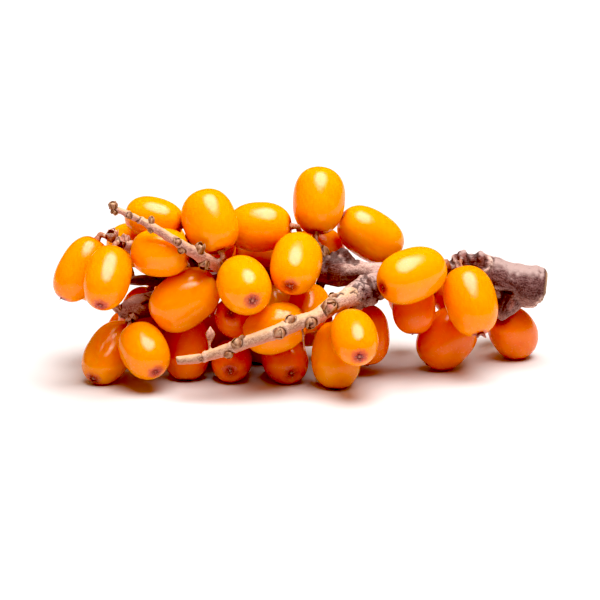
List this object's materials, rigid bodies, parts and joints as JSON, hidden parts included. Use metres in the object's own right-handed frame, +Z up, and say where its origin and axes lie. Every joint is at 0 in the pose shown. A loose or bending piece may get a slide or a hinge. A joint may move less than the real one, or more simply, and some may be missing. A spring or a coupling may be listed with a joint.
{
  "type": "sea buckthorn sprig",
  "caption": "Cut sprig of sea buckthorn lying down: a knobbly woody stem with side shoots, crowded with plump orange berries on short stalks.",
  "frame": {"origin": "on the surface that the sprig lies on, under the middle of its box", "axes": "+X towards the cut end of the stem, along the sprig; +Y to the back; +Z up"},
  "size_m": [0.0791, 0.0416, 0.0328],
  "materials": {
    "bark": "matte, scaly bark, pinkish tan on the shoots and purple-brown on the stem",
    "berry_skin": "smooth glossy translucent skin, yellow-orange to deep orange"
  },
  "bodies": {
    "root": {"branch": "bark", "berry_01": "berry_skin", "berry_02": "berry_skin", "berry_03": "berry_skin", "berry_04": "berry_skin", "berry_05": "berry_skin", "berry_06": "berry_skin", "berry_07": "berry_skin", "berry_08": "berry_skin", "berry_09": "berry_skin", "berry_10": "berry_skin", "berry_11": "berry_skin", "berry_12": "berry_skin", "berry_13": "berry_skin", "berry_14": "berry_skin", "berry_15": "berry_skin", "berry_16": "berry_skin", "berry_17": "berry_skin", "berry_18": "berry_skin", "berry_19": "berry_skin", "berry_20": "berry_skin", "berry_21": "berry_skin", "berry_22": "berry_skin", "berry_23": "berry_skin", "berry_24": "berry_skin", "berry_25": "berry_skin", "berry_26": "berry_skin", "berry_27": "berry_skin", "berry_28": "berry_skin", "berry_29": "berry_skin", "berry_30": "berry_skin", "berry_31": "berry_skin", "berry_32": "berry_skin", "berry_33": "berry_skin", "berry_34": "berry_skin", "berry_35": "berry_skin", "berry_36": "berry_skin", "berry_37": "berry_skin", "berry_38": "berry_skin", "berry_39": "berry_skin", "berry_40": "berry_skin", "berry_41": "berry_skin", "berry_42": "berry_skin", "berry_43": "berry_skin", "berry_44": "berry_skin", "berry_45": "berry_skin", "berry_46": "berry_skin", "berry_47": "berry_skin", "berry_48": "berry_skin"}
  },
  "joints": []
}
